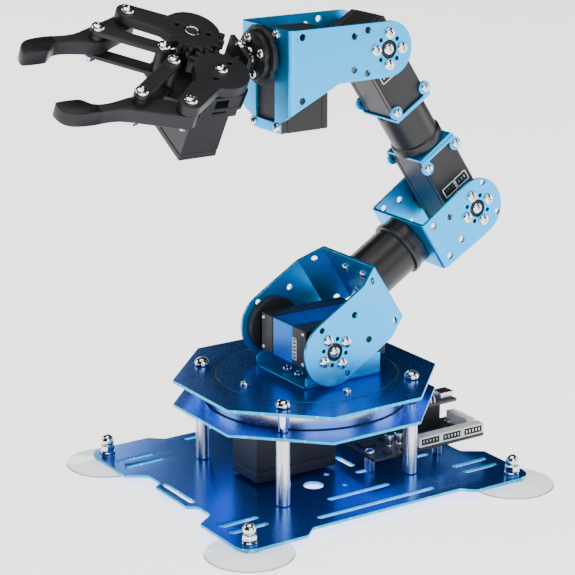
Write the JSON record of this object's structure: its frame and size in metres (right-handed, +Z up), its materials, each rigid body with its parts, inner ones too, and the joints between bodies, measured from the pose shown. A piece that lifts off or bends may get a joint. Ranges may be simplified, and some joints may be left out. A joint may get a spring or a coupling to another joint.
{
  "type": "desktop robot arm",
  "caption": "Desktop robot arm on suction feet: turntable, hinged upper arm and forearm, pitching and rolling wrist, and a geared parallel gripper.",
  "frame": {"origin": "centre of the whole arm's footprint, on the plane the suction cups stand on", "axes": "+Z up; -X is the way the gripper points at rest; +Y away from the side with the controller board's sockets"},
  "size_m": [0.2866, 0.2098, 0.2838],
  "materials": {
    "blue_alloy": "blue anodised aluminium sheet, brushed satin faces",
    "black_plastic": "moulded black plastic, fine satin grain",
    "black_alloy": "black anodised, satin",
    "bright_steel": "polished steel",
    "satin_alloy": "satin turned",
    "clear_vinyl": "clear soft vinyl, glossy",
    "black_board": "black lacquered circuit board",
    "cream_plastic": "off-white connector plastic"
  },
  "bodies": {
    "base": {"base_plate": "blue_alloy", "suction_cup_front_left": "clear_vinyl", "suction_cup_front_right": "clear_vinyl", "suction_cup_back_left": "clear_vinyl", "suction_cup_back_right": "clear_vinyl", "foot_nut_front_left": "bright_steel", "foot_nut_front_right": "bright_steel", "foot_nut_back_left": "bright_steel", "foot_nut_back_right": "bright_steel", "standoff_front_left": "satin_alloy", "standoff_front_right": "satin_alloy", "standoff_back_left": "satin_alloy", "standoff_back_right": "satin_alloy", "deck_screw_front_left": "bright_steel", "deck_screw_front_right": "bright_steel", "deck_screw_back_left": "bright_steel", "deck_screw_back_right": "bright_steel", "lower_deck": "blue_alloy", "upper_deck": "blue_alloy", "bearing_drum": "satin_alloy", "base_servo": "black_plastic", "controller_board": "black_board", "board_standoff_1": "satin_alloy", "board_standoff_2": "satin_alloy", "servo_ports": "cream_plastic", "power_inlet": "cream_plastic", "radio_card": "black_board"},
    "turntable": {"turntable_disc": "blue_alloy", "turntable_hub": "satin_alloy", "turntable_bracket": "blue_alloy", "shoulder_servo_front_case": "black_plastic", "shoulder_servo_middle": "blue_alloy", "shoulder_servo_rear_case": "black_plastic"},
    "upper_arm": {"shoulder_bracket": "blue_alloy", "shoulder_horn_front": "black_plastic", "shoulder_horn_rear": "black_plastic", "upper_arm_tube": "black_alloy", "elbow_bracket": "blue_alloy", "elbow_horn_front": "black_plastic", "elbow_horn_rear": "black_plastic"},
    "forearm": {"elbow_servo": "black_plastic", "elbow_servo_bracket": "blue_alloy", "forearm_tube": "black_alloy", "wrist_servo_bracket": "blue_alloy", "wrist_servo": "black_plastic"},
    "wrist": {"wrist_bracket": "blue_alloy", "wrist_horn_front": "black_plastic", "wrist_horn_rear": "black_plastic", "roll_servo": "black_plastic"},
    "hand": {"roll_horn": "black_alloy", "roll_hub": "black_alloy", "gripper_frame": "black_alloy", "gripper_servo": "black_plastic"},
    "drive_gear": {"drive_gear_arm": "black_alloy", "gripper_horn": "bright_steel"},
    "idler_gear": {"idler_gear_arm": "black_alloy"},
    "link_front": {"inner_link_front": "black_alloy"},
    "link_rear": {"inner_link_rear": "black_alloy"},
    "jaw_front": {"finger_front": "black_plastic"},
    "jaw_rear": {"finger_rear": "black_plastic"}
  },
  "joints": [
    {"name": "base_yaw", "type": "hinge", "parent": "base", "child": "turntable", "pos_m": [0.02055, -0.0026, 0.06], "axis": [0, 0, 1], "range_deg": [-120, 120]},
    {"name": "shoulder_pitch", "type": "hinge", "parent": "turntable", "child": "upper_arm", "pos_m": [0.01755, -0.0026, 0.0872], "axis": [0, -1, 0], "range_deg": [-28, 50]},
    {"name": "elbow_pitch", "type": "hinge", "parent": "upper_arm", "child": "forearm", "pos_m": [0.12534, -0.0026, 0.15455], "axis": [0, -1, 0], "range_deg": [-95, 10]},
    {"name": "wrist_pitch", "type": "hinge", "parent": "forearm", "child": "wrist", "pos_m": [0.05918, -0.0026, 0.25527], "axis": [0, -1, 0], "range_deg": [-75, 20]},
    {"name": "wrist_roll", "type": "hinge", "parent": "wrist", "child": "hand", "pos_m": [-0.04402, -0.0026, 0.25527], "axis": [-1, 0, 0], "range_deg": [-90, 90]},
    {"name": "grip", "type": "hinge", "parent": "hand", "child": "drive_gear", "pos_m": [-0.04402, -0.0145, 0.24828], "axis": [0, 0.506, -0.8625], "range_deg": [-22, 32]},
    {"name": "idler_turn", "type": "hinge", "parent": "hand", "child": "idler_gear", "pos_m": [-0.04402, 0.01534, 0.26579], "axis": [0, 0.506, -0.8625], "range_deg": [-32, 22]},
    {"name": "front_link_turn", "type": "hinge", "parent": "hand", "child": "link_front", "pos_m": [-0.06762, -0.00476, 0.254], "axis": [0, 0.506, -0.8625], "range_deg": [-22, 32]},
    {"name": "rear_link_turn", "type": "hinge", "parent": "hand", "child": "link_rear", "pos_m": [-0.06762, 0.00559, 0.26008], "axis": [0, 0.506, -0.8625], "range_deg": [-32, 22]},
    {"name": "front_jaw_turn", "type": "hinge", "parent": "drive_gear", "child": "jaw_front", "pos_m": [-0.07392, -0.03256, 0.23769], "axis": [0, 0.506, -0.8625], "range_deg": [-32, 22]},
    {"name": "rear_jaw_turn", "type": "hinge", "parent": "idler_gear", "child": "jaw_rear", "pos_m": [-0.07392, 0.0334, 0.27639], "axis": [0, 0.506, -0.8625], "range_deg": [-22, 32]}
  ],
  "couplings": [
    {"joint": "idler_turn", "follows": "grip", "ratio": -1},
    {"joint": "front_link_turn", "follows": "grip", "ratio": 1},
    {"joint": "rear_link_turn", "follows": "grip", "ratio": -1},
    {"joint": "front_jaw_turn", "follows": "grip", "ratio": -1},
    {"joint": "rear_jaw_turn", "follows": "grip", "ratio": 1}
  ]
}
